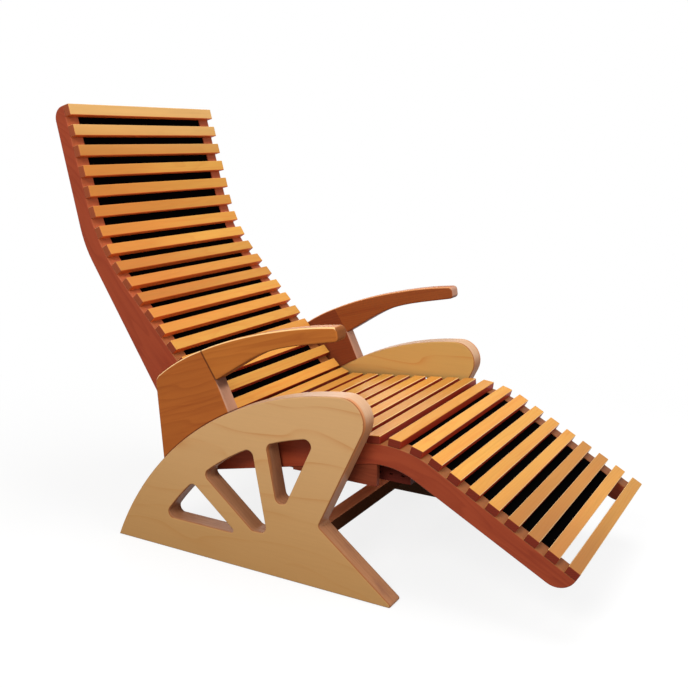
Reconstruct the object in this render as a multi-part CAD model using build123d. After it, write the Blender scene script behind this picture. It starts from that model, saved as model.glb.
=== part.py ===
from build123d import *
import os
from math import atan2, cos, degrees, radians, sin, sqrt

# A heated recliner. Two laminated sides with fixed arms stand on the floor, and a slatted
# lounge tilts between them on two pivot pins. Lengths are in millimetres and angles in degrees.
# Everything is drawn in a side view, x to the feet and y up, with z across the chair and
# positive on the sitter's right. The last lines turn that to X to the feet, Y left and Z up.

# Lounge line: the slats' upper faces, seen from the side
hip_forward = 332.3
hip_height = 351.3
upper_back_length = 371.3
lower_back_length = 583.3
seat_length = 502.7
leg_rest_length = 468.5
upper_back_lean = 14.8
lower_back_lean = 42.6
seat_rise_angle = 5.1
leg_rest_fall_angle = 29.7
back_bend_radius = 424.0
hip_bend_radius = 90.0
knee_bend_radius = 280.0

# Slats
slat_length = 600.0
slat_thickness = 20.0
slat_rounding = 2.0
slat_housing = 1.0
back_slat_count = 18
upper_slat_count = 7
back_slat_width = 30.0
upper_slats_before_bend_middle = 30.2
last_back_slat_past_bend = 3.5
hip_slat_width = 28.0
hip_slat_gap = 8.0
seat_slat_count = 8
seat_slat_width = 36.0
seat_slat_gap = 12.7
knee_slat_width = 32.0
knee_slat_gap = 22.5
leg_slat_count = 9
leg_slat_width = 30.0
knee_slat_before_bend_middle = 14.1
leg_slat_gap_at_knee = 27.0

# Side rails, with their depth below the lounge line at each end of each straight stretch
rail_thickness = 45.0
head_depth = 57.4
back_bend_depth_above = 66.7
back_bend_depth_below = 62.1
hip_depth_behind = 170.4
hip_depth_ahead = 120.8
knee_depth_behind = 57.0
knee_depth_ahead = 78.0
foot_depth = 67.0
back_under_radius = 300.0
heel_radius = 60.0
knee_under_radius = 180.0
head_end_radius = 33.0
foot_end_radius = 46.0
rail_rounding = 3.0

# Wedge boards under the rails, level at the bottom
wedge_drop = 86.3
wedge_behind_knee = 77.0
wedge_tip_height = 6.0
wedge_thickness = 14.0

# Heater panels and the cross members behind them
heater_thickness = 6.0
back_heater_start = 8.0
cross_rail_width = 60.0
cross_rail_thickness = 24.0
back_cross_rail_shares = (0.166, 0.706)
seat_cross_rail_share = 0.426
seat_gap = 0.3

# Wiring box under the knee
box_behind_knee = 11.0
box_length = 103.0
box_above_wedge = 2.0
box_height = 50.0
box_wall = 12.0
box_lid_thickness = 4.0
vent_length = 9.0
vent_height = 4.0
vent_pitch = 31.0
vent_row_gap = 15.0
vent_columns = 3
vent_rows = 2
inlet_width = 48.0
inlet_height = 26.0
inlet_depth = 20.0
inlet_wall = 4.0
inlet_flange_width = 58.0
inlet_flange_height = 32.0
inlet_flange_thickness = 3.0
inlet_pin_width = 2.0
inlet_pin_height = 4.0
inlet_pin_length = 12.0
inlet_pin_pitch = 9.0
controller_length = 60.0
controller_width = 110.0
controller_height = 24.0
controller_rounding = 2.0

# Side panels of the base, drawn from the rear bottom corner
side_clearance = 8.0
base_thickness = 51.0
base_length = 837.0
base_arc_radius = 811.0
base_top_above_hip = 136.7
base_rounding = 4.0
nose_radius = 58.0
notch_forward = 632.0
notch_height = 160.0
notch_radius = 10.0
front_lean = 25.2
toe_radius = 6.0
rim_width = 100.0
front_post_width = 99.0
spoke_width = 46.0
rear_spoke_fall_angle = 39.1
middle_spoke_lean = 10.9
middle_spoke_forward = 508.0
rear_sill = 88.0
middle_sill = 108.0
front_sill = 196.0
opening_radius = 15.0
opening_tip_radius = 6.0
front_rim_width = 103.0
front_opening_radius = 16.0

# Arms and the posts under them
arm_thickness = 42.0
arm_rear = 142.0
arm_foot_drop = 111.3
arm_reach = 552.0
arm_rise = 408.0
arm_rounding = 5.0
arm_nose_radius = 11.0
post_corner_radius = 30.0
post_rear_foot_shares = (0.031, 0.007)
post_rear_top_shares = (0.000, 0.525)
post_top_shares = (0.130, 0.652)
joint_top_shares = (0.270, 0.748)
joint_bottom_shares = (0.351, 0.578)
post_front_foot_shares = (0.424, 0.370)
arm_top_shares = ((0.438, 0.837), (0.670, 0.924), (0.837, 0.968), (0.966, 0.988))
arm_under_shares = ((0.975, 0.909), (0.792, 0.859), (0.601, 0.781), (0.489, 0.696))

# Cross bars of the base
stretcher_width = 40.0
stretcher_height = 35.0
front_stretcher_forward = 599.0
front_stretcher_height = 119.5
rear_stretcher_forward = 124.0
rear_stretcher_height = 146.0
stop_rail_behind_wedge = 147.0
stop_rail_depth = 37.0
buffer_thickness = 3.0
buffer_length = 30.0
buffer_inset = 1.0

# Pivot
pivot_ahead_of_hip = 41.7
pivot_drop = 41.3
pin_radius = 8.0
pin_head_radius = 16.0
pin_head_thickness = 6.0
pin_reach = 36.0
running_clearance = 0.08
bush_wall = 4.0
bush_flange_radius = 20.0
bush_reach = 38.0
fit_clearance = 0.1
rest_gap = 0.3

# Dowels
slat_dowel_radius = 4.0
slat_dowel_in_slat = 12.0
slat_dowel_in_rail = 12.0
base_dowel_radius = 6.0
base_dowel_half = 22.0
dowel_end_room = 0.5
post_dowel_shares = (0.2, 0.5, 0.8)
arm_dowel_shares = (0.3, 0.7)
overrun = 5.0

half_slat = slat_length / 2
rail_inner = half_slat - rail_thickness
base_inner = half_slat + side_clearance
base_outer = base_inner + base_thickness
arm_outer = base_inner + arm_thickness
wedge_bottom = hip_height - wedge_drop
pivot_forward = hip_forward + pivot_ahead_of_hip
pivot_height = hip_height - pivot_drop
base_arc_drop = base_arc_radius - hip_height - base_top_above_hip
arm_foot_height = hip_height - arm_foot_drop

nodes = {}


def step(angle, length=1.0):
    """A step of a length at an angle above the x direction."""
    return Vector(cos(radians(angle)) * length, sin(radians(angle)) * length)


def angle_of(vector):
    """The angle of a vector above the x direction."""
    return degrees(atan2(vector.Y, vector.X))


def meeting(a, b, c, d):
    """The point where the line through a and b meets the line through c and d."""
    along, other = b - a, d - c
    turn = along.X * other.Y - along.Y * other.X
    share = ((c.X - a.X) * other.Y - (c.Y - a.Y) * other.X) / turn
    return a + along * share


def lowered(corners, depths):
    """The corners of the line that runs below another at the given depths."""
    lines = []
    for (a, b), (depth_a, depth_b) in zip(zip(corners, corners[1:]), depths):
        along = (b - a).normalized()
        down = Vector(along.Y, -along.X)
        lines.append((a + down * depth_a, b + down * depth_b))
    inner = [meeting(*first, *second) for first, second in zip(lines, lines[1:])]
    return [lines[0][0], *inner, lines[-1][1]]


def rounded(face, corner, radius):
    """The face with its corner nearest to a point rounded."""
    return fillet(face.vertices().sort_by_distance(corner)[0], radius)


def outline(points):
    """A face with straight sides through points."""
    return make_face(Polyline(*points, close=True))


def plate(face, low, high):
    """A face made into a plate between two places across the chair."""
    return Pos(0, 0, low) * extrude(face, high - low)


def softened(solid, radius, seams=()):
    """A plate with the edges of its two flat sides rounded, except along its seams with others."""
    sides = solid.faces().sort_by(Axis.Z)
    edges = [edge for side in (sides[0], sides[-1]) for edge in side.edges()]
    for seam in seams:
        away = [(edge.center() - Vector(seam.X, seam.Y, edge.center().Z)).length for edge in edges]
        edges = [edge for edge, gap in zip(edges, away) if gap > min(away) + fit_clearance]
    return fillet(edges, radius)


def crosswise(solid):
    """The same solid on the other side of the chair."""
    return mirror(solid, Plane.XY)


def rod(place, angle, below, above, across, radius):
    """A round rod square to a line at an angle, from below that line to above it."""
    length = below + above
    cylinder = Rot(90, 0, 0) * Cylinder(radius, length)
    return Pos(place.X, place.Y, across) * Rot(0, 0, angle) * Pos(0, above - length / 2, 0) * cylinder


# Corners of the lounge line, from the head to the foot
hip = Vector(hip_forward, hip_height)
back_bend = hip + step(90 + lower_back_lean, lower_back_length)
head = back_bend + step(90 + upper_back_lean, upper_back_length)
knee = hip + step(seat_rise_angle, seat_length)
foot = knee + step(-leg_rest_fall_angle, leg_rest_length)
lounge_corners = [head, back_bend, hip, knee, foot]
stretches = len(lounge_corners) - 1
wedge_front = knee.X - wedge_behind_knee
stop_rail_forward = wedge_front - stop_rail_behind_wedge


def line_below(depth, ends=lounge_corners):
    """The lounge line moved down by a depth, with its bends, as one wire."""
    radii = [back_bend_radius + depth, hip_bend_radius + depth, knee_bend_radius - depth]
    return FilletPolyline(*lowered(ends, [(depth, depth)] * stretches), radius=radii)


lounge_line = line_below(0)
edge_lengths = [edge.length for edge in lounge_line.edges()]
upper_back, back_bending, lower_back, hip_bending, seat_straight, knee_bending = edge_lengths[:-1]
hip_bend_start = upper_back + back_bending + lower_back
seat_start = hip_bend_start + hip_bending
knee_bend_middle = seat_start + seat_straight + knee_bending / 2
back_bend_middle = upper_back + back_bending / 2


def on_line(place):
    """The point at a distance along the lounge line, and the line's angle there."""
    point = lounge_line.position_at(place, PositionMode.LENGTH)
    along = lounge_line.tangent_at(place, PositionMode.LENGTH)
    return Vector(point.X, point.Y), angle_of(along)


def across_line(place, depth, width, thickness, length):
    """A bar under the lounge line, its top face at a depth."""
    point, angle = on_line(place)
    bar = Box(width, thickness, length)
    return Pos(point.X, point.Y, 0) * Rot(0, 0, angle) * Pos(0, -depth - thickness / 2, 0) * bar


def slat_places():
    """Name, middle along the lounge line and width of every slat."""
    places = []
    first_place = back_slat_width / 2
    middle_place = back_bend_middle - upper_slats_before_bend_middle
    last_place = hip_bend_start + last_back_slat_past_bend
    upper_pitch = (middle_place - first_place) / (upper_slat_count - 1)
    lower_pitch = (last_place - middle_place) / (back_slat_count - upper_slat_count)
    for i in range(back_slat_count):
        below = max(i + 1 - upper_slat_count, 0)
        place = first_place + (i - below) * upper_pitch + below * lower_pitch
        places.append((f"back_slat_{i + 1:02d}", place, back_slat_width))
    back_end = last_place + back_slat_width / 2
    places.append(("seat_slat_01", back_end + hip_slat_gap + hip_slat_width / 2, hip_slat_width))
    leg_end = lounge_line.length
    knee_slat_end = knee_bend_middle - knee_slat_before_bend_middle
    leg_reach = leg_end - leg_slat_width - knee_slat_end - leg_slat_gap_at_knee
    leg_slat_pitch = leg_reach / (leg_slat_count - 1)
    seat_begin = back_end + hip_slat_gap + hip_slat_width + seat_slat_gap
    seat_end = knee_slat_end - knee_slat_width - knee_slat_gap
    seat_slat_pitch = (seat_end - seat_slat_width - seat_begin) / (seat_slat_count - 1)
    for i in range(seat_slat_count):
        middle = seat_end - seat_slat_width / 2 - (seat_slat_count - 1 - i) * seat_slat_pitch
        places.append((f"seat_slat_{i + 2:02d}", middle, seat_slat_width))
    places.append(("leg_slat_01", knee_slat_end - knee_slat_width / 2, knee_slat_width))
    for i in range(leg_slat_count):
        middle = leg_end - leg_slat_width / 2 - (leg_slat_count - 1 - i) * leg_slat_pitch
        places.append((f"leg_slat_{i + 2:02d}", middle, leg_slat_width))
    return places


slats = slat_places()


def slat_dowel(place, across, extra=0.0):
    """One dowel between a slat and a rail, or with extra room, its hole."""
    point, angle = on_line(place)
    seam = point + step(angle - 90, slat_thickness)
    end = dowel_end_room if extra else 0
    return rod(seam, angle, slat_dowel_in_rail + end, slat_dowel_in_slat + end, across,
               slat_dowel_radius + extra)


def make_slats():
    """The slats, each with a blind hole for a dowel at both ends."""
    across = half_slat - rail_thickness / 2
    for name, place, width in slats:
        bar = fillet(Box(width, slat_thickness, slat_length).edges(), slat_rounding)
        point, angle = on_line(place)
        slat = Pos(point.X, point.Y, 0) * Rot(0, 0, angle) * Pos(0, -slat_thickness / 2, 0) * bar
        for side in (across, -across):
            slat -= slat_dowel(place, side, fit_clearance)
        nodes[name] = slat
    nodes["slat_dowels"] = [slat_dowel(place, side) for _, place, _ in slats for side in (across, -across)]


rail_under_corners = lowered(lounge_corners, [
    (head_depth, back_bend_depth_above), (back_bend_depth_below, hip_depth_behind),
    (hip_depth_ahead, knee_depth_behind), (knee_depth_ahead, foot_depth)])


def rail_face():
    """The S-shaped side view of a rail, below the slats."""
    upper = line_below(slat_thickness - slat_housing)
    radii = [back_under_radius, heel_radius, knee_under_radius]
    lower = FilletPolyline(*rail_under_corners, radius=radii)
    ends = [Line(upper @ 0, lower @ 0), Line(upper @ 1, lower @ 1)]
    face = make_face(upper.edges() + lower.edges() + [line.edge() for line in ends])
    face = rounded(face, lower @ 0, head_end_radius)
    return rounded(face, lower @ 1, foot_end_radius)


def pivot_rod(radius, low, high):
    """A round rod across the chair on the pivot's axis."""
    return Pos(pivot_forward, pivot_height, (low + high) / 2) * Cylinder(radius, high - low)


def make_rails():
    """The two rails, seated against the slats and bored for dowels and pivot pins."""
    face = rail_face()
    rail = softened(plate(face, rail_inner, half_slat), rail_rounding)
    across = half_slat - rail_thickness / 2
    seat_reach = slat_length + overrun
    seats = [across_line(place, 0, width, slat_thickness, seat_reach) for _, place, width in slats]
    holes = [slat_dowel(place, across, fit_clearance) for _, place, _ in slats]
    rail = rail.cut(*seats, *holes, pivot_rod(pin_radius + fit_clearance, rail_inner - overrun,
                                              half_slat + overrun))
    nodes["side_rail_right"] = rail
    nodes["side_rail_left"] = crosswise(rail)


def make_wedges():
    """The wedge boards that give the rails a level bottom."""
    heel, under_knee = rail_under_corners[2], rail_under_corners[3]
    tip_top = wedge_bottom + wedge_tip_height
    rise = (under_knee.Y - heel.Y) / (under_knee.X - heel.X)
    tip = heel.X + (tip_top - heel.Y) / rise
    high = under_knee.Y + overrun
    points = [(tip, wedge_bottom), (wedge_front, wedge_bottom), (wedge_front, high), (tip, high)]
    face = outline(points) - rail_face()
    lowest = face.faces().sort_by(Axis.Y)[0]
    wedge = plate(lowest, half_slat - wedge_thickness, half_slat)
    nodes["rail_wedges"] = [wedge, crosswise(wedge)]


def heater(start, end, gap):
    """A thin panel that follows the underside of the slats, a gap below it, between two places."""
    top = line_below(slat_thickness + gap)
    bottom = line_below(slat_thickness + gap + heater_thickness)
    band = make_face(top.edges() + bottom.edges()
                     + [Line(top @ 0, bottom @ 0).edge(), Line(top @ 1, bottom @ 1).edge()])
    panel = plate(band, seat_gap - rail_inner, rail_inner - seat_gap)
    reach = lounge_line.length
    beyond = Box(reach, 2 * reach, slat_length, align=(Align.MIN, Align.CENTER, Align.CENTER))
    for place, way in ((start, 180), (end, 0)):
        point, angle = on_line(place)
        panel -= Pos(point.X, point.Y, 0) * Rot(0, 0, angle + way) * beyond
    return panel


# A flat slat dips below the hip bend's arc at its two long edges
hip_arc_radius = hip_bend_radius + slat_thickness
hip_dip = sqrt(hip_arc_radius ** 2 + (back_slat_width / 2) ** 2) - hip_arc_radius
back_heater_gap = seat_gap + hip_dip


def make_heaters():
    """The black panels behind the slats of the back and the hip and under the leg rest's."""
    hip_place = [place for name, place, _ in slats if name == "seat_slat_01"][0]
    nodes["back_heater"] = heater(back_heater_start, hip_place + hip_slat_width / 2, back_heater_gap)
    leg_places = [place for name, place, _ in slats if name.startswith("leg_slat")]
    nodes["leg_heater"] = heater(leg_places[0], leg_places[-2] + leg_slat_width / 2, seat_gap)


def make_cross_rails():
    """Two cross members behind the back's heater and one under the seat."""
    behind_heater = slat_thickness + back_heater_gap + heater_thickness + seat_gap
    places = [(share * hip_bend_start, behind_heater) for share in back_cross_rail_shares]
    places.append((seat_start + seat_cross_rail_share * seat_straight, slat_thickness + seat_gap))
    nodes["cross_rails"] = [across_line(place, depth, cross_rail_width, cross_rail_thickness, 2 * rail_inner)
                            for place, depth in places]


def make_wiring_box():
    """The box under the knee, with vent slots in its ends, its lid and its mains inlet."""
    rear = knee.X - box_behind_knee - box_length
    box_bottom = wedge_bottom + box_above_wedge
    middle = Vector(rear + box_length / 2, box_bottom + box_height / 2)
    box = Pos(middle.X, middle.Y, 0) * Box(box_length, box_height, 2 * rail_inner)
    room = Box(box_length - 2 * box_wall, box_height, 2 * (rail_inner - box_wall))
    box -= Pos(middle.X, middle.Y + box_wall, 0) * room
    for i in range(vent_columns):
        for j in range(vent_rows):
            x = middle.X + (i - (vent_columns - 1) / 2) * vent_pitch
            y = middle.Y + (j - (vent_rows - 1) / 2) * vent_row_gap
            box -= Pos(x, y, 0) * Box(vent_length, vent_height, slat_length)
    inlet_place = Pos(rear, middle.Y, 0)
    box -= inlet_place * Box(4 * box_wall, inlet_height + 2 * fit_clearance, inlet_width + 2 * fit_clearance)
    lid = Box(box_length, box_lid_thickness, 2 * rail_inner)
    nodes["control_box"] = box
    nodes["control_box_lid"] = Pos(middle.X, box_bottom + box_height + box_lid_thickness / 2, 0) * lid
    controller = Box(controller_length, controller_height, controller_width)
    controller = fillet(controller.edges(), controller_rounding)
    across = rail_inner - box_wall - controller_width
    nodes["controller"] = Pos(middle.X, box_bottom + box_wall + controller_height / 2, across) * controller

    inward = (Align.MIN, Align.CENTER, Align.CENTER)
    inlet = Box(inlet_depth, inlet_height, inlet_width, align=inward)
    flange = Box(inlet_flange_thickness, inlet_flange_height, inlet_flange_width, align=inward)
    inlet += Pos(-inlet_flange_thickness, 0, 0) * flange
    cavity = Box(inlet_depth + inlet_flange_thickness - inlet_wall, inlet_height - 2 * inlet_wall,
                 inlet_width - 2 * inlet_wall, align=inward)
    inlet -= Pos(-inlet_flange_thickness, 0, 0) * cavity
    outward = (Align.MAX, Align.CENTER, Align.CENTER)
    pin = Box(inlet_pin_length, inlet_pin_height, inlet_pin_width, align=outward)
    for i in (-1, 0, 1):
        inlet += Pos(inlet_depth - inlet_wall, 0, i * inlet_pin_pitch) * pin
    nodes["mains_inlet"] = inlet_place * inlet


def make_pivot():
    """Headed pins in the rails and flanged bushes in the side panels."""
    head_low = rail_inner - pin_head_thickness
    pin = pivot_rod(pin_head_radius, head_low, rail_inner)
    pin += pivot_rod(pin_radius, head_low, base_inner + pin_reach)
    nodes["pivot_pins"] = [pin, crosswise(pin)]
    bore = pin_radius + running_clearance
    bush = pivot_rod(bush_flange_radius, half_slat + rest_gap, base_inner)
    bush += pivot_rod(bore + bush_wall, half_slat + rest_gap, base_inner + bush_reach)
    bush -= pivot_rod(bore, half_slat, base_inner + bush_reach + overrun)
    nodes["pivot_bushes"] = [bush, crosswise(bush)]


arc_centre = Vector(sqrt(base_arc_radius ** 2 - base_arc_drop ** 2), -base_arc_drop)
notch = Vector(notch_forward, notch_height)
front_way = step(90 - front_lean)
rear_spoke_way = step(-rear_spoke_fall_angle)
middle_spoke_way = step(90 + middle_spoke_lean)


def disc(radius):
    """A disc about the centre of the base's curved top."""
    return Pos(arc_centre.X, arc_centre.Y) * Circle(radius)


def arc_place(x, radius=base_arc_radius):
    """The point of an arc of the base at a distance from its rear corner."""
    return Vector(x, arc_centre.Y + sqrt(radius ** 2 - (x - arc_centre.X) ** 2))


def opening(corners, radii, rim=rim_width):
    """One cut-out: straight sides, closed by the inner edge of the curved rim."""
    face = outline(corners) & disc(base_arc_radius - rim)
    for vertex in list(face.vertices()):
        sharp = (Vector(vertex.X, vertex.Y) - corners[0]).length < spoke_width / 2
        face = rounded(face, (vertex.X, vertex.Y), radii[0] if sharp else radii[1])
    return face


def base_openings():
    """The three cut-outs between the rim, the spokes and the front post."""
    far = base_length
    post_side = notch - Vector(front_way.Y, -front_way.X) * front_post_width
    middle_foot = Vector(middle_spoke_forward, middle_sill)
    half = Vector(middle_spoke_way.Y, -middle_spoke_way.X) * (spoke_width / 2)
    spoke_rear, spoke_front = middle_foot - half, middle_foot + half
    rear_side = spoke_rear - Vector(spoke_width - base_rounding * 2, 0)
    drop = spoke_width / cos(radians(rear_spoke_fall_angle))

    def at_height(point, way, height):
        return point + way * ((height - point.Y) / way.Y)

    upper_left = rear_side - rear_spoke_way * far
    lower_point = rear_side - Vector(0, drop)
    tip = at_height(lower_point, rear_spoke_way, rear_sill)
    rear = opening([tip, tip - rear_spoke_way * far, (tip.X - far, rear_sill)],
                   (opening_tip_radius, opening_radius))
    middle_right = at_height(spoke_rear, middle_spoke_way, middle_sill)
    middle = opening([at_height(rear_side, rear_spoke_way, middle_sill), middle_right,
                      middle_right + middle_spoke_way * far, upper_left], (opening_radius, opening_radius))
    front_left = at_height(spoke_front, middle_spoke_way, front_sill)
    front_right = at_height(post_side, front_way, front_sill)
    front = opening([front_left, front_right, front_right + front_way * far,
                     front_left + middle_spoke_way * far],
                    (front_opening_radius, front_opening_radius), front_rim_width)
    return [rear, middle, front]


def base_face():
    """The side view of a base panel: curved top, leaning front, notch and toe."""
    toe = Vector(base_length, 0)
    high = notch + front_way * base_length
    points = [(0, 0), toe, notch, high, (0, base_length)]
    face = outline(points) & disc(base_arc_radius)
    nose_line = notch - arc_centre
    along = nose_line.dot(front_way)
    nose_step = sqrt(along ** 2 + base_arc_radius ** 2 - nose_line.dot(nose_line)) - along
    nose = notch + front_way * nose_step
    for corner, radius in ((nose, nose_radius), (notch, notch_radius), (toe, toe_radius)):
        face = rounded(face, corner, radius)
    for hole in base_openings():
        face -= hole
    return face


def arm_place(shares):
    """A point of the arm's outline from its shares of the arm's reach and rise."""
    return Vector(arm_rear + shares[0] * arm_reach, arm_foot_height + shares[1] * arm_rise)


def post_face():
    """The board under the arm's rear, cut to the base's curved top."""
    rear_foot, rear_top = arm_place(post_rear_foot_shares), arm_place(post_rear_top_shares)
    top, bottom = arm_place(joint_top_shares), arm_place(joint_bottom_shares)
    front_foot = arm_place(post_front_foot_shares)
    rear_foot += (rear_foot - rear_top).normalized() * arm_thickness
    front_foot += (front_foot - bottom).normalized() * arm_thickness
    edges = [Line(front_foot, rear_foot), Line(rear_foot, rear_top),
             ThreePointArc(rear_top, arm_place(post_top_shares), top),
             Line(top, bottom), Line(bottom, front_foot)]
    face = make_face([line.edge() for line in edges])
    face = rounded(face, rear_top, post_corner_radius)
    return face - disc(base_arc_radius)


def arm_face():
    """The curved arm, from its joint with the post to its nose."""
    top, bottom = arm_place(joint_top_shares), arm_place(joint_bottom_shares)
    upper = Spline(top, *[arm_place(shares) for shares in arm_top_shares])
    lower = Spline(*[arm_place(shares) for shares in arm_under_shares], bottom)
    edges = [upper, Line(upper @ 1, lower @ 0), lower, Line(bottom, top)]
    face = make_face([line.edge() for line in edges])
    for nose in (upper @ 1, lower @ 0):
        face = rounded(face, nose, arm_nose_radius)
    return face


def cross_bar(place, depth):
    """A bar between the two side panels, bored for its dowels."""
    bar = Pos(place.X, place.Y, 0) * Box(stretcher_width, depth, 2 * base_inner)
    return bar.cut(*bar_dowels(place, fit_clearance))


def bar_dowels(place, extra=0.0):
    """The dowels between a cross bar and both panels, or their holes."""
    half = base_dowel_half + (dowel_end_room if extra else 0)
    dowels = []
    for shift in (-1, 1):
        x = place.X + shift * (stretcher_width / 2 - 2 * base_dowel_radius)
        for side in (-1, 1):
            dowels.append(Pos(x, place.Y, side * base_inner) * Cylinder(base_dowel_radius + extra, 2 * half))
    return dowels


def post_dowels(extra=0.0):
    """The dowels between post and panel and between arm and post on the right, or their holes."""
    half = base_dowel_half + (dowel_end_room if extra else 0)
    across = base_inner + arm_thickness / 2
    rear, front = arm_place(post_rear_foot_shares).X, arm_place(post_front_foot_shares).X
    dowels = []
    for share in post_dowel_shares:
        seam = arc_place(rear + share * (front - rear))
        angle = angle_of(seam - arc_centre) - 90
        dowels.append(rod(seam, angle, half, half, across, base_dowel_radius + extra))
    top, bottom = arm_place(joint_top_shares), arm_place(joint_bottom_shares)
    angle = angle_of(bottom - top)
    for share in arm_dowel_shares:
        seam = top + (bottom - top) * share
        dowels.append(rod(seam, angle, half, half, across, base_dowel_radius + extra))
    return dowels


def make_base():
    """The side panels, arms, posts, cross bars, buffers and dowels."""
    front_bar = Vector(front_stretcher_forward, front_stretcher_height)
    rear_bar = Vector(rear_stretcher_forward, rear_stretcher_height)
    stop_top = wedge_bottom - rest_gap - buffer_thickness
    stop_bar = Vector(stop_rail_forward, stop_top - stop_rail_depth / 2)
    holes = post_dowels(fit_clearance)
    dowels = post_dowels() + [crosswise(dowel) for dowel in post_dowels()]
    for place in (front_bar, rear_bar, stop_bar):
        holes += bar_dowels(place, fit_clearance)
        dowels += bar_dowels(place)
    nodes["stretchers"] = [cross_bar(front_bar, stretcher_height), cross_bar(rear_bar, stretcher_height)]
    nodes["stop_rail"] = cross_bar(stop_bar, stop_rail_depth)
    nodes["base_dowels"] = dowels

    bush_hole = pivot_rod(pin_radius + running_clearance + bush_wall + fit_clearance, half_slat,
                          base_inner + bush_reach + dowel_end_room)
    joint = (arm_place(joint_top_shares) + arm_place(joint_bottom_shares)) / 2
    seat = arc_place((arm_place(post_rear_foot_shares).X + arm_place(post_front_foot_shares).X) / 2)
    panel = softened(plate(base_face(), base_inner, base_outer), base_rounding).cut(*holes, bush_hole)
    post = softened(plate(post_face(), base_inner, arm_outer), arm_rounding, (joint, seat)).cut(*holes)
    arm = softened(plate(arm_face(), base_inner, arm_outer), arm_rounding, (joint,)).cut(*holes)
    for name, solid in (("base_side", panel), ("arm_post", post), ("arm", arm)):
        nodes[name + "_right"] = solid
        nodes[name + "_left"] = crosswise(solid)

    pad = Box(buffer_length, buffer_thickness, wedge_thickness - 2 * buffer_inset)
    across = half_slat - wedge_thickness / 2
    nodes["stop_buffers"] = [Pos(stop_rail_forward, stop_top + buffer_thickness / 2, side * across) * pad
                             for side in (1, -1)]


make_slats()
make_rails()
make_wedges()
make_heaters()
make_cross_rails()
make_wiring_box()
make_pivot()
make_base()

# Turn the side view upright, set the middle of the whole box over the origin and write the nodes
turned = {}
for name, made in nodes.items():
    solids = made if isinstance(made, list) else [made]
    turned[name] = [Rot(90, 0, 0) * piece for item in solids for piece in item.solids()]
whole = Compound([piece for pieces in turned.values() for piece in pieces])
box = whole.bounding_box()
shift = Pos(-(box.min.X + box.max.X) / 2, 0, 0)
os.makedirs("parts", exist_ok=True)
for name, pieces in turned.items():
    moved = [shift * piece for piece in pieces]
    export_step(moved[0] if len(moved) == 1 else Compound(moved), f"parts/{name}.step")
print("nodes", len(turned), "shift", -(box.min.X + box.max.X) / 2, "box", box.min, box.max)
print("pivot", pivot_forward - (box.min.X + box.max.X) / 2, pivot_height)
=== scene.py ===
import math

import bpy
from mathutils import Matrix, Vector

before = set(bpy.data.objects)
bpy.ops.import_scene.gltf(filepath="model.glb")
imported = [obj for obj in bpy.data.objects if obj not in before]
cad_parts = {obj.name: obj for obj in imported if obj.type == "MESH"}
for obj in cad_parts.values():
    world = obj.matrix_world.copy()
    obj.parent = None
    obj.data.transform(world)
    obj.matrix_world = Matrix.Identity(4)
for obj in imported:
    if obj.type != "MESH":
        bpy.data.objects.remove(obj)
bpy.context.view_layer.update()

# Lengths are in metres and angles in degrees, in the chair's frame at rest: x towards the feet,
# y across the chair and away from the camera, z up. The right side is the one near the camera.

# The rails' grain follows four straight lines, each through a point (x, z) at a slope.
UPPER_BACK_LINE = ((-0.5790, 0.7807), -75.2)
LOWER_BACK_LINE = ((-0.1842, 0.3513), -47.4)
SEAT_LINE = ((-0.1842, 0.3513), 5.1)
LEG_LINE = ((0.3165, 0.3960), -29.7)
BACK_BEND_LENGTH = 0.12
HIP_BEND_LENGTH = 0.06
KNEE_BEND_LENGTH = 0.10
HEAD_TO_FEET = (0.8, 0.0, -0.6)

# The arm's joint with its post is a line (direction, offset). Post and panel meet on an arc.
JOINT_DIRECTION = (0.841, 0.0, 0.542)
JOINT_OFFSET = 0.1054
JOINT_REACH = 0.0036
ARC_CENTRE = (0.2274, -0.3230)
ARC_RADIUS = 0.811
ARC_REACH = 0.0045
LINE_CORE = 0.35

# Cells of the wood's noises: length along the grain, width across it.
WARP_CELL = (0.35, 0.06)
STREAK_CELL = (0.30, 0.012)
BLOTCH_CELL = (0.22, 0.07)
FIBRE_CELL = (0.030, 0.0011)
PORE_CELL = (0.004, 0.0022)
RING_WARP = 0.035
RING_SHARPNESS = 2.5
RING_FALL = (1.0, 0.86)
STREAK_FADE = (0.45, 0.75)
BLOTCHES = 0.08
FIBRES = 0.05

# An object's own random number, spread out to move its noises and to draw its warmth.
WOOD_SEEDS = 17.0
PANEL_SEEDS = 11.0
SECOND_DRAW = 7.31

PANEL_OUTER_FACE = 0.359
PANEL_LAYER = 0.017
PANEL_LINE_RISE = 0.075
PANEL_LINE_WAVES = 4.2
PANEL_LINE_SHARPNESS = 9.0

SMOOTHED_BELOW = 32.0

# The floor fades to plain white light over distances from the middle of the chair. Floor and
# sky are darker for light that bounces than for the camera.
FLOOR_SIZE = 60.0
FLOOR_DROP = 0.0005
FLOOR_TONES = (0.93, 0.95)
FLOOR_CELL = 1 / 3
FLOOR_FADE = (1.0, 2.2)
NEAR_FLOOR_LIGHT = 0.84
BOUNCED_FLOOR = 0.30
BOUNCED_SKY = 0.30

CAMERA_PLACE = (1.1575, -2.0922, 1.0602)
CAMERA_HEADING = 29.33
CAMERA_TILT = 77.257
CAMERA_ROLL = 0.2963
CAMERA_LENS = 48.10
CAMERA_SENSOR = 36.0


def srgb(red, green, blue):
    """A linear colour from the 0 to 255 values of a photograph."""
    shares = [value / 255 for value in (red, green, blue)]
    linear = [s / 12.92 if s <= 0.04045 else ((s + 0.055) / 1.055) ** 2.4 for s in shares]
    return (*linear, 1.0)


def gray(value):
    return (value, value, value, 1.0)


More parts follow.
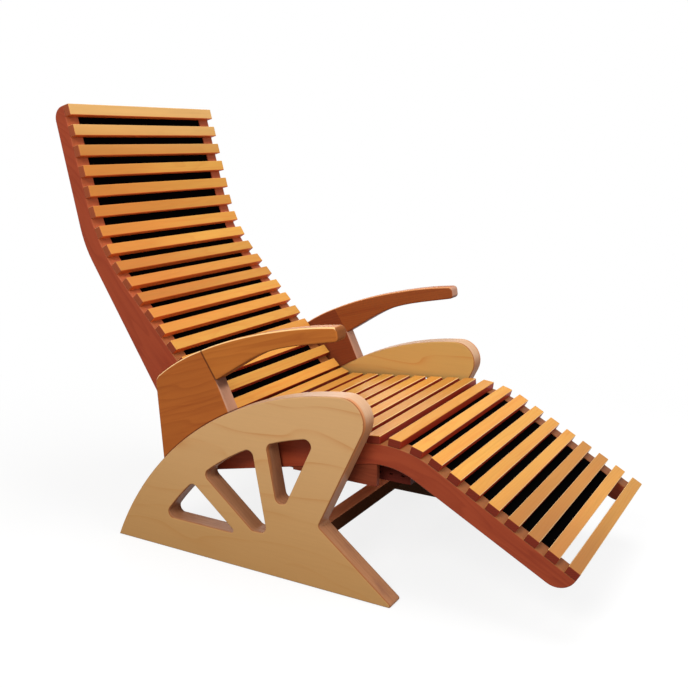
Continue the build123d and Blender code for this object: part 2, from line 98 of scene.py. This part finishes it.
class Nodes:
    """A cleared node tree, with short calls that add nodes and return their output sockets."""

    def __init__(self, tree):
        self.tree = tree
        tree.nodes.clear()

    def add(self, kind, **settings):
        node = self.tree.nodes.new(kind)
        for key, value in settings.items():
            setattr(node, key, value)
        return node

    def put(self, socket, value):
        """Link an output to a socket, or set the socket to a constant."""
        if isinstance(value, bpy.types.NodeSocket):
            self.tree.links.new(value, socket)
        else:
            socket.default_value = value

    def math(self, operation, *values):
        node = self.add("ShaderNodeMath", operation=operation)
        for socket, value in zip(node.inputs, values):
            self.put(socket, value)
        return node.outputs[0]

    def times(self, first, *others):
        for other in others:
            first = self.math("MULTIPLY", first, other)
        return first

    def largest(self, first, *others):
        for other in others:
            first = self.math("MAXIMUM", first, other)
        return first

    def distance_from(self, wide, high, centre):
        """The distance of a point with two coordinates from a centre."""
        wide = self.math("SUBTRACT", wide, centre[0])
        high = self.math("SUBTRACT", high, centre[1])
        return self.math("SQRT", self.math("ADD", self.times(wide, wide), self.times(high, high)))

    def dot(self, vector, direction):
        node = self.add("ShaderNodeVectorMath", operation="DOT_PRODUCT")
        self.put(node.inputs[0], vector)
        self.put(node.inputs[1], direction)
        return node.outputs["Value"]

    def split(self, vector):
        node = self.add("ShaderNodeSeparateXYZ")
        self.put(node.inputs[0], vector)
        return node.outputs[:]

    def vector(self, x, y, z):
        node = self.add("ShaderNodeCombineXYZ")
        for socket, value in zip(node.inputs, (x, y, z)):
            self.put(socket, value)
        return node.outputs[0]

    def noise(self, vector, detail=2.0, roughness=0.5, seed=None):
        """Noise from about 0 to 1; the vector is already in cells."""
        node = self.add("ShaderNodeTexNoise", noise_dimensions="3D" if seed is None else "4D")
        self.put(node.inputs["Vector"], vector)
        self.put(node.inputs["Scale"], 1.0)
        self.put(node.inputs["Detail"], detail)
        self.put(node.inputs["Roughness"], roughness)
        if seed is not None:
            self.put(node.inputs["W"], seed)
        return node.outputs[0]

    def smooth(self, value, none_at, whole_at):
        """0 up to one value and 1 past the other, smooth between them."""
        node = self.add("ShaderNodeMapRange", interpolation_type="SMOOTHSTEP")
        self.put(node.inputs["Value"], value)
        self.put(node.inputs["From Min"], none_at)
        self.put(node.inputs["From Max"], whole_at)
        return node.outputs[0]

    def line(self, away, reach):
        """1 where a distance is nearly 0, and 0 beyond a reach."""
        return self.smooth(self.math("ABSOLUTE", away), reach, reach * LINE_CORE)

    def mix(self, share, first, second, blend="MIX"):
        node = self.add("ShaderNodeMix", data_type="RGBA", blend_type=blend)
        factor, first_colour, second_colour = (node.inputs[i] for i in (0, 6, 7))
        self.put(factor, share)
        self.put(first_colour, first)
        self.put(second_colour, second)
        return node.outputs[2]

    def toned(self, colour, tone):
        """A colour times a brightness."""
        return self.mix(1.0, colour, self.vector(tone, tone, tone), "MULTIPLY")

    def stained_and_lit(self, colour, share, stain_and_light, strength=1.0):
        """A colour with a share of another colour over it, used for real stains and for painted light
        and shade.
        """
        return self.mix(share if strength == 1.0 else self.times(share, strength), colour, stain_and_light)

    def around(self, middle, value, span):
        """A middle, varied over a span by a 0 to 1 value."""
        return self.math("MULTIPLY_ADD", value, span, middle - span / 2)

    def about(self, value, amount):
        """1, up to an amount more or less as a 0 to 1 value is above or below its middle."""
        return self.around(1.0, value, 2.0 * amount)

    def seen_directly(self):
        """1 for rays from the camera, mirrors and glass, otherwise 0."""
        path = self.add("ShaderNodeLightPath")
        kinds = ("Is Camera Ray", "Is Glossy Ray", "Is Transmission Ray")
        return self.largest(*[path.outputs[kind] for kind in kinds])


class Material(Nodes):
    """A material with one shader, with a surface's place and facing in the chair at rest."""

    def __init__(self, name, shader="ShaderNodeBsdfPrincipled"):
        self.material = bpy.data.materials.new(name)
        self.material.use_nodes = True
        super().__init__(self.material.node_tree)
        self.shader = self.add(shader)
        self.output = self.add("ShaderNodeOutputMaterial")
        self.put(self.output.inputs["Surface"], self.shader.outputs[0])
        coordinates = self.add("ShaderNodeTexCoord")
        self.place = coordinates.outputs["Object"]
        self.x, self.y, self.z = self.split(self.place)
        self.ahead, self.left, self.up = self.split(coordinates.outputs["Normal"])
        self.sideways = self.math("ABSOLUTE", self.left)

    def where(self, **fades):
        """The share of a stain: for each named place or facing, the values where the stain's
        share is 0 and 1."""
        return self.times(*[self.smooth(getattr(self, key), *fade) for key, fade in fades.items()])

    def cells(self, size_x, size_y, size_z):
        return self.vector(self.math("DIVIDE", self.x, size_x), self.math("DIVIDE", self.y, size_y),
                           self.math("DIVIDE", self.z, size_z))

    def surface(self, colour, roughness, specular, height, strength, distance, metallic=0.0):
        """Fill the shader in, with a bump of a height, and return the finished material."""
        self.put(self.shader.inputs["Base Color"], colour)
        self.put(self.shader.inputs["Roughness"], roughness)
        self.put(self.shader.inputs["Specular IOR Level"], specular)
        self.put(self.shader.inputs["Metallic"], metallic)
        bump = self.add("ShaderNodeBump")
        self.put(bump.inputs["Height"], height)
        self.put(bump.inputs["Strength"], strength)
        self.put(bump.inputs["Distance"], distance)
        self.put(self.shader.inputs["Normal"], bump.outputs[0])
        return self.material


class Wood(Material):
    """Oiled solid wood: growth rings round a heart line, streaks, blotches and fine fibres.

    Stains, painted light and painted shade are laid over it one after another, and finish is the last
    call.
    """

    def __init__(self, name, axes, face, late, heart=(0.07, 0.05), ring=0.0042, ring_share=0.4,
                 streaks=0.10, spread=0.0, warmth=0.0):
        super().__init__(name)
        self.along, self.across, self.deep = axes(self)
        own = self.add("ShaderNodeObjectInfo").outputs["Random"]
        self.seed = self.times(own, WOOD_SEEDS)

        radius = self.distance_from(self.across, self.deep, heart)
        warp = self.noise(self.grain_cells(WARP_CELL), seed=self.seed)
        radius = self.math("MULTIPLY_ADD", warp, RING_WARP, radius)
        growth = self.math("FRACT", self.math("DIVIDE", radius, ring))
        self.rings = self.times(self.math("POWER", growth, RING_SHARPNESS),
                                self.smooth(growth, *RING_FALL))
        streak = self.noise(self.grain_cells(STREAK_CELL), detail=3.0, roughness=0.6, seed=self.seed)
        blotch = self.noise(self.grain_cells(BLOTCH_CELL), seed=self.seed)
        self.fibre = self.noise(self.grain_cells(FIBRE_CELL), roughness=0.7, seed=self.seed)

        self.colour = self.stained_and_lit(face, self.rings, late, strength=ring_share)
        self.stain_and_light(self.smooth(streak, *STREAK_FADE), late, strength=0.45)
        self.tone = self.times(self.about(streak, streaks), self.about(blotch, BLOTCHES),
                               self.about(self.fibre, FIBRES))
        if spread:
            self.tone = self.times(self.tone, self.about(own, spread))
        if warmth:
            self.stain_and_light(self.math("FRACT", self.times(own, SECOND_DRAW)), late, strength=warmth)
        self.colour = self.grained(self.colour)

    def grain_cells(self, cell):
        length, width = cell
        return self.vector(self.math("DIVIDE", self.along, length),
                           self.math("DIVIDE", self.across, width),
                           self.math("DIVIDE", self.deep, width))

    def grained(self, colour):
        return self.toned(colour, self.tone)

    # Lays a colour over the wood; callers use it for real stains and for painted light and shade.
    def stain_and_light(self, share, colour, strength=1.0):
        self.colour = self.stained_and_lit(self.colour, share, colour, strength)

    def stain_and_light_edges(self, colour):
        """Colour the narrow faces and up-looking roundings of a board that stands upright along the
        chair, with a colour that carries painted light and painted highlights.
        """
        lit_rounding = self.where(up=(0.1, 0.3), sideways=(0.96, 0.80))
        self.stain_and_light(self.largest(self.where(sideways=(0.80, 0.45)), lit_rounding), self.grained(colour))

    def stain_ends(self, colour):
        """Stain end grain that looks sideways, with its rings and pores."""
        pores = self.noise(self.grain_cells(PORE_CELL), roughness=0.6, seed=self.seed)
        ringed = self.times(self.about(self.rings, 0.16), self.about(pores, 0.14))
        self.stain_and_light(self.where(sideways=(0.55, 0.9)), self.toned(colour, ringed))

    def draw_joints(self):
        """Darken the joints of arm, post and panel; the line where post meets panel also stands for
        painted shade of the step between them.
        """
        from_joint = self.math("SUBTRACT", self.dot(self.place, JOINT_DIRECTION), JOINT_OFFSET)
        from_arc = self.math("SUBTRACT", self.distance_from(self.x, self.z, ARC_CENTRE), ARC_RADIUS)
        lines = self.largest(self.line(from_joint, JOINT_REACH), self.line(from_arc, ARC_REACH))
        self.stain_and_light(lines, srgb(66, 28, 20), strength=0.75)

    def finish(self, roughness=0.46, specular=0.12):
        rough = self.around(roughness, self.fibre, span=0.22)
        rough = self.math("MULTIPLY_ADD", self.rings, 0.07, rough)
        height = self.math("MULTIPLY_ADD", self.rings, 0.5, self.fibre)
        return self.surface(self.colour, rough, specular, height, strength=0.35, distance=0.0003)


def depth_below(wood, line):
    """How far a place lies below a line in the side view."""
    (x, z), slope = line
    turn = math.radians(slope)
    down = (math.sin(turn), 0.0, -math.cos(turn))
    return wood.math("SUBTRACT", wood.dot(wood.place, down), down[0] * x + down[2] * z)


def rail_axes(wood):
    """Along and across the bent rails, so that the grain follows their curve."""
    upper = depth_below(wood, UPPER_BACK_LINE)
    lower = depth_below(wood, LOWER_BACK_LINE)
    across = wood.math("SMOOTH_MAX", upper, lower, BACK_BEND_LENGTH)
    across = wood.math("SMOOTH_MAX", across, depth_below(wood, SEAT_LINE), HIP_BEND_LENGTH)
    across = wood.math("SMOOTH_MIN", across, depth_below(wood, LEG_LINE), KNEE_BEND_LENGTH)
    return wood.dot(wood.place, HEAD_TO_FEET), across, wood.y


def straight_axes(degrees):
    """Along and across straight grain that rises by an angle in the side view."""
    turn = math.radians(degrees)

    def axes(wood):
        return (wood.dot(wood.place, (math.cos(turn), 0.0, math.sin(turn))),
                wood.dot(wood.place, (-math.sin(turn), 0.0, math.cos(turn))), wood.y)
    return axes


def cross_axes(wood):
    """Along and across grain that runs across the chair."""
    return wood.y, wood.x, wood.z


def slat_wood():
    """Golden slats with dark ends, paler at the head and browner at the foot, with painted shade on
    their near ends and sides and painted highlights on their arrises.
    """
    wood = Wood("slat_cedar", cross_axes, face=srgb(211, 154, 70), late=srgb(184, 104, 40),
                heart=(0.4, 1.3), ring=0.0046, ring_share=0.24, streaks=0.16, spread=0.13, warmth=0.40)

    wood.stain_and_light(wood.where(z=(0.96, 1.14)), wood.grained(srgb(220, 176, 114)), strength=0.7)
    # Painted shade: the back slats turn browner towards their near ends.
    shaded_near_back = wood.times(wood.where(y=(0.20, -0.28), z=(0.50, 0.64)), wood.where(z=(1.12, 0.98)))
    wood.stain_and_light(shaded_near_back, wood.grained(srgb(188, 110, 49)), strength=0.7)
    # Browner towards the foot; the extra brown at the near ends is painted shade.
    more_when_near = wood.math("MULTIPLY_ADD", wood.where(y=(0.15, -0.30)), 0.55, 0.30)
    wood.stain_and_light(wood.times(wood.where(x=(0.42, 0.66)), more_when_near), wood.grained(srgb(158, 101, 51)))

    # Painted shade on the slats' sides and undersides, tinted by a painted red glow and darker low down.
    below = wood.mix(wood.where(z=(0.55, 0.42)), srgb(202, 92, 38), srgb(150, 44, 26))
    wood.stain_and_light(wood.where(up=(0.24, 0.12)), wood.grained(below))

    # Painted highlights along the slats' rounded arrises that face the light.
    seat_middle = 0.08
    from_seat_middle = wood.math("ABSOLUTE", wood.math("SUBTRACT", wood.x, seat_middle))
    back_arris = wood.where(ahead=(-0.15, -0.35), up=(0.5, 0.7))
    leg_arris = wood.where(ahead=(0.78, 0.90), up=(-0.25, 0.0), x=(0.34, 0.37))
    seat_arris = wood.times(wood.where(ahead=(0.35, 0.55), up=(0.30, 0.50)),
                            wood.smooth(from_seat_middle, 0.19, 0.15))
    arris_highlight = wood.largest(back_arris, leg_arris, seat_arris)
    wood.stain_and_light(arris_highlight, srgb(252, 222, 164), strength=0.8)

    wood.stain_ends(wood.mix(wood.where(z=(0.35, 0.75)), srgb(124, 43, 26), srgb(158, 78, 46)))
    return wood.finish(roughness=0.42)


def rail_wood():
    """Red-brown rails whose narrow faces are lighter with painted light from above, redder on the back.
    """
    wood = Wood("rail_cedar", rail_axes, face=srgb(159, 69, 41), late=srgb(122, 44, 27),
                heart=(0.10, 0.42), ring=0.005)
    # Painted light from above on the rails' narrow faces, redder up on the back.
    wood.stain_and_light_edges(wood.mix(wood.where(z=(0.45, 0.65)), srgb(143, 86, 46), srgb(168, 84, 50)))
    return wood.finish()


def bar_wood():
    """Cross bars with dark ends; the face is brightened as painted light on their tops, and their fronts
    under the seat carry painted shade.
    """
    # The face colour is brighter than the wood, as painted light on the tops that lie in the seat's
    # shade.
    wood = Wood("bar_cedar", cross_axes, face=srgb(255, 168, 118), late=srgb(224, 122, 82),
                heart=(0.2, 0.6))
    # Painted shade: the fronts of the bars under the seat are nearly black.
    wood.stain_and_light(wood.where(ahead=(0.1, 0.5), z=(0.40, 0.30)), srgb(34, 8, 5), strength=0.9)
    wood.stain_ends(srgb(120, 60, 40))
    return wood.finish(specular=0.0)


def board_wood(name, slope, heart, ring, face, late, edge, top, front, below=None, joints=False,
               specular=0.12):
    """Boards of arms and posts; the colours of their narrow faces depend on where these look, with
    painted highlights on the roundings and painted shade on faces that look down.
    """
    wood = Wood(name, straight_axes(slope), face=face, late=late, heart=heart, ring=ring)
    # edge colours the roundings with painted highlights; below, where given, is painted shade on faces
    # that look down.
    edge = wood.mix(wood.where(sideways=(0.35, 0.12)), edge, top)
    edge = wood.mix(wood.where(ahead=(0.20, 0.50)), edge, front)
    if below is not None:
        edge = wood.mix(wood.where(up=(-0.10, -0.35)), edge, below)
    wood.stain_and_light_edges(edge)
    if joints:
        wood.draw_joints()
    return wood.finish(specular=specular)


def panel_wood(name, pale):
    """Pale laminate: smooth faces with a few wavy grain lines, browner laminated edges, and painted
    shade low down, on the inner faces under the seat and along the roundings, with painted light on
    edges that look up.
    """
    panel = Material(name)
    seed = panel.times(panel.add("ShaderNodeObjectInfo").outputs["Random"], PANEL_SEEDS)

    hills = panel.noise(panel.cells(0.40, 0.5, 0.11), detail=1.5, roughness=0.4, seed=seed)
    rise = panel.math("DIVIDE", panel.z, PANEL_LINE_RISE)
    wave = panel.math("FRACT", panel.math("ADD", panel.times(hills, PANEL_LINE_WAVES), rise))
    lines = panel.times(panel.math("POWER", wave, PANEL_LINE_SHARPNESS), panel.smooth(wave, 1.0, 0.95))
    faint = panel.noise(panel.cells(0.25, 0.5, 0.05), seed=seed)
    streak = panel.noise(panel.cells(0.16, 0.05, 0.0045), detail=3.0, roughness=0.6, seed=seed)
    blotch = panel.noise(panel.cells(0.20, 0.2, 0.10), seed=seed)
    fibre = panel.noise(panel.cells(0.018, 0.0012, 0.0012), roughness=0.7, seed=seed)
    shown_lines = panel.times(lines, panel.smooth(faint, 0.30, 0.62))
    face = panel.stained_and_lit(pale, shown_lines, srgb(190, 116, 50), strength=0.85)
    face = panel.stained_and_lit(face, blotch, srgb(205, 158, 105), strength=0.3)
    # Painted shade: the faces darken towards the floor.
    low_shade = panel.smooth(panel.math("ADD", panel.z, panel.times(blotch, 0.12)), 0.50, 0.06)
    face = panel.stained_and_lit(face, low_shade, srgb(190, 142, 86), strength=0.8)
    face = panel.toned(face, panel.times(panel.about(streak, 0.045), panel.about(fibre, 0.03)))
    inward = panel.smooth(panel.times(panel.y, panel.left), -0.1, -0.25)
    shaded = panel.times(inward, panel.where(z=(0.40, 0.30)))
    face = panel.stained_and_lit(face, shaded, srgb(52, 18, 10), strength=0.92)

    edge_streak = panel.noise(panel.cells(0.10, 0.0045, 0.10), detail=3.0, roughness=0.65, seed=seed)
    edge_patch = panel.noise(panel.cells(0.05, 0.02, 0.05), seed=seed)
    edge = panel.mix(edge_streak, srgb(150, 96, 66), srgb(196, 142, 102))
    edge = panel.stained_and_lit(edge, panel.smooth(edge_patch, 0.5, 0.8), srgb(132, 88, 74), strength=0.5)
    # Painted light: edges that look up, high on the panel, are paler.
    lit_edge = panel.mix(edge_streak, srgb(194, 150, 116), srgb(216, 178, 144))
    edge = panel.stained_and_lit(edge, panel.where(z=(0.30, 0.42), up=(-0.15, 0.45)), lit_edge, strength=0.9)
    # Painted shade on edges that look down, low on the panel.
    lower = panel.where(up=(0.1, -0.5), z=(0.34, 0.22))
    edge = panel.stained_and_lit(edge, lower, srgb(120, 62, 34), strength=0.35)
    layer = panel.math("FRACT", panel.math("DIVIDE", panel.y, PANEL_LAYER))
    from_seam = panel.math("ABSOLUTE", panel.math("SUBTRACT", layer, 0.1))
    edge = panel.stained_and_lit(edge, panel.smooth(from_seam, 0.05, 0.0), srgb(112, 70, 50), strength=0.25)
    border = panel.smooth(panel.math("ABSOLUTE", panel.y), PANEL_OUTER_FACE - 0.012,
                          PANEL_OUTER_FACE - 0.007)
    border = panel.times(border, panel.where(ahead=(0.0, 0.4), z=(0.24, 0.30)))
    edge = panel.stained_and_lit(edge, border, srgb(196, 124, 72), strength=0.75)

    colour = panel.stained_and_lit(face, panel.where(sideways=(0.85, 0.60)), edge)
    # Painted shade along the roundings between the faces and the edges.
    rim_shade = panel.times(panel.where(sideways=(0.25, 0.6), ahead=(-0.2, 0.3)),
                      panel.where(sideways=(0.99, 0.85)))
    colour = panel.stained_and_lit(colour, rim_shade, srgb(146, 84, 46), strength=0.85)
    height = panel.math("MULTIPLY_ADD", lines, 0.4, fibre)
    return panel.surface(colour, panel.around(0.46, fibre, span=0.2), specular=0.07, height=height,
                         strength=0.3, distance=0.0002)


def grained(name, base, other, size, roughness, bump, metallic=0.0, stretch=(1.0, 1.0, 1.0),
            specular=0.5):
    """Fine grain in two tones, for plastic, rubber, film and turned metal."""
    matter = Material(name)
    grain = matter.noise(matter.cells(*[size * wide for wide in stretch]), detail=3.0, roughness=0.6)
    cloud = matter.noise(matter.cells(0.08, 0.08, 0.08))
    colour = matter.mix(matter.math("MULTIPLY_ADD", cloud, 0.5, grain), base, other)
    rough = matter.around(roughness, grain, span=0.18)
    return matter.surface(colour, rough, specular, grain, strength=0.4, distance=bump, metallic=metallic)


arm_grain = dict(slope=15.0, heart=(0.32, 0.30), ring=0.006)
post_grain = dict(slope=20.0, heart=(0.30, 0.28), ring=0.007)
# Colours of the far side's narrow faces: edge is a painted highlight and below is painted shade.
far_edges = dict(edge=srgb(206, 142, 92), top=srgb(164, 96, 52), below=srgb(104, 50, 28),
                 front=srgb(178, 132, 108))

materials = {
    "slat": slat_wood(),
    "rail": rail_wood(),
    "board": Wood("board_cedar", straight_axes(0.0), face=srgb(130, 62, 40), late=srgb(98, 40, 26),
                  heart=(0.12, 0.30), ring=0.005).finish(specular=0.04),
    "box": Wood("box_cedar", straight_axes(0.0), face=srgb(92, 34, 25), late=srgb(66, 22, 16),
                heart=(0.12, 0.30), ring=0.005).finish(specular=0.04),
    "bar": bar_wood(),
    # The cream edge colours of arm and post are painted highlights on their roundings; the arm's below
    # colour is painted shade.
    "arm": board_wood("arm_cedar", **arm_grain, face=srgb(188, 111, 48), late=srgb(148, 74, 31),
                      edge=srgb(240, 196, 136), top=srgb(172, 106, 50), below=srgb(132, 72, 36),
                      front=srgb(132, 76, 38), joints=True, specular=0.04),
    "post": board_wood("post_cedar", **post_grain, face=srgb(176, 98, 43), late=srgb(136, 64, 28),
                       edge=srgb(246, 206, 148), top=srgb(190, 122, 60), front=srgb(184, 136, 110),
                       joints=True, specular=0.05),
    # Painted shade: the far arm and post are darker copies of the near ones.
    "far_arm": board_wood("shaded_arm_cedar", **arm_grain, **far_edges, face=srgb(146, 78, 38),
                          late=srgb(116, 52, 27)),
    "far_post": board_wood("shaded_post_cedar", **post_grain, **far_edges, face=srgb(124, 60, 33),
                           late=srgb(98, 42, 25)),
    "panel": panel_wood("pale_laminate", pale=srgb(214, 169, 117)),
    "far_panel": panel_wood("golden_laminate", pale=srgb(201, 161, 93)),
    "dowel": Wood("beech_dowel", cross_axes, face=srgb(214, 176, 128), late=srgb(186, 138, 92)).finish(),
    "heater": grained("heater_film", srgb(2, 2, 3), srgb(8, 7, 7), size=0.0016, roughness=0.6,
                      bump=0.0002, stretch=(1.0, 9.0, 1.0), specular=0.0),
    "rubber": grained("rubber", srgb(34, 34, 35), srgb(52, 51, 50), size=0.0012, roughness=0.75,
                      bump=0.0003),
    "bronze": grained("bronze", srgb(196, 154, 96), srgb(160, 116, 66), size=0.0015, roughness=0.32,
                      bump=0.0001, metallic=1.0),
    "steel": grained("steel", srgb(196, 197, 200), srgb(160, 161, 165), size=0.0012, roughness=0.3,
                     bump=0.0001, metallic=1.0),
    "plastic": grained("black_plastic", srgb(30, 30, 32), srgb(44, 44, 46), size=0.0009,
                       roughness=0.5, bump=0.0002),
}

kinds = {
    "base_side_right": "panel", "base_side_left": "far_panel",
    "arm_right": "arm", "arm_left": "far_arm", "arm_post_right": "post", "arm_post_left": "far_post",
    "side_rail_right": "rail", "side_rail_left": "rail", "rail_wedges": "board",
    "control_box": "box", "control_box_lid": "box",
    "cross_rails": "bar", "stretchers": "bar", "stop_rail": "bar",
    "back_heater": "heater", "leg_heater": "heater",
    "base_dowels": "dowel", "slat_dowels": "dowel",
    "stop_buffers": "rubber", "pivot_bushes": "bronze", "pivot_pins": "steel",
    "mains_inlet": "plastic", "controller": "plastic",
}

for name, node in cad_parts.items():
    kind = "slat" if "_slat_" in name else kinds[name]
    node.data.materials.clear()
    node.data.materials.append(materials[kind])
    node.data.shade_smooth()
    node.data.set_sharp_from_angle(angle=math.radians(SMOOTHED_BELOW))


def floor_material():
    """A white floor with a light shadow near the chair; further out it is plain white light."""
    floor = Material("floor", "ShaderNodeBsdfDiffuse")
    seen = floor.seen_directly()
    cloud = floor.noise(floor.vector(floor.math("DIVIDE", floor.x, FLOOR_CELL),
                                     floor.math("DIVIDE", floor.y, FLOOR_CELL), 0.0))
    white = floor.mix(cloud, *[gray(tone) for tone in FLOOR_TONES])
    floor.put(floor.shader.inputs["Color"], floor.mix(seen, gray(BOUNCED_FLOOR), white))
    away = floor.add("ShaderNodeVectorMath", operation="LENGTH")
    floor.put(away.inputs[0], floor.place)
    far = floor.smooth(away.outputs["Value"], *FLOOR_FADE)
    lit = floor.math("MULTIPLY_ADD", far, 1.0 - NEAR_FLOOR_LIGHT, NEAR_FLOOR_LIGHT)
    light = floor.add("ShaderNodeEmission")
    mixed = floor.add("ShaderNodeMixShader")
    floor.put(mixed.inputs[0], floor.times(lit, seen))
    floor.put(mixed.inputs[1], floor.shader.outputs[0])
    floor.put(mixed.inputs[2], light.outputs[0])
    floor.put(floor.output.inputs["Surface"], mixed.outputs[0])
    return floor.material


def lay_floor():
    half = FLOOR_SIZE / 2
    mesh = bpy.data.meshes.new("floor")
    mesh.from_pydata([(-half, -half, 0), (half, -half, 0), (half, half, 0), (-half, half, 0)], [],
                     [(0, 1, 2, 3)])
    mesh.materials.append(floor_material())
    plane = bpy.data.objects.new("floor", mesh)
    bpy.context.scene.collection.objects.link(plane)
    plane.location.z = -FLOOR_DROP


def make_world():
    """A sky that is seen as plain white and lights the chair more weakly."""
    world = bpy.data.worlds.new("studio")
    bpy.context.scene.world = world
    world.use_nodes = True
    studio = Nodes(world.node_tree)
    strength = studio.add("ShaderNodeMapRange")
    studio.put(strength.inputs["Value"], studio.seen_directly())
    studio.put(strength.inputs["To Min"], BOUNCED_SKY)
    studio.put(strength.inputs["To Max"], 1.0)
    sky = studio.add("ShaderNodeBackground")
    studio.put(sky.inputs["Color"], gray(1.0))
    studio.put(sky.inputs["Strength"], strength.outputs[0])
    output = studio.add("ShaderNodeOutputWorld")
    studio.put(output.inputs["Surface"], sky.outputs[0])


def lamp(name, place, aim, size, power, colour=(1.0, 1.0, 1.0)):
    light = bpy.data.lights.new(name, "AREA")
    light.shape = "DISK"
    light.size = size
    light.energy = power
    light.color = colour
    holder = bpy.data.objects.new(name, light)
    holder.location = place
    holder.rotation_euler = (Vector(aim) - Vector(place)).to_track_quat("-Z", "Y").to_euler()
    bpy.context.scene.collection.objects.link(holder)


def set_camera():
    """The photograph's camera, fitted to the ends of the slats."""
    camera = bpy.data.cameras.new("camera")
    camera.lens = CAMERA_LENS
    camera.sensor_width = CAMERA_SENSOR
    camera.clip_start = 0.05
    camera.clip_end = 100.0
    eye = bpy.data.objects.new("camera", camera)
    bpy.context.scene.collection.objects.link(eye)
    turn = (Matrix.Rotation(math.radians(CAMERA_HEADING), 4, "Z")
            @ Matrix.Rotation(math.radians(CAMERA_TILT), 4, "X")
            @ Matrix.Rotation(math.radians(CAMERA_ROLL), 4, "Z"))
    eye.matrix_world = Matrix.Translation(CAMERA_PLACE) @ turn
    bpy.context.scene.camera = eye


lay_floor()
make_world()
lamp("key", (0.2, -3.4, 3.0), aim=(0.0, 0.0, 0.4), size=1.8, power=108.0, colour=(1.0, 0.975, 0.94))
lamp("top", (0.6, 0.2, 3.6), aim=(0.1, 0.0, 0.3), size=2.2, power=68.0)
lamp("fill", (3.4, -0.6, 2.0), aim=(0.0, 0.0, 0.5), size=2.0, power=46.0)
lamp("rear", (-2.4, 3.0, 1.8), aim=(0.0, 0.0, 0.4), size=2.0, power=34.0)
set_camera()
bpy.context.scene.view_settings.view_transform = "Standard"
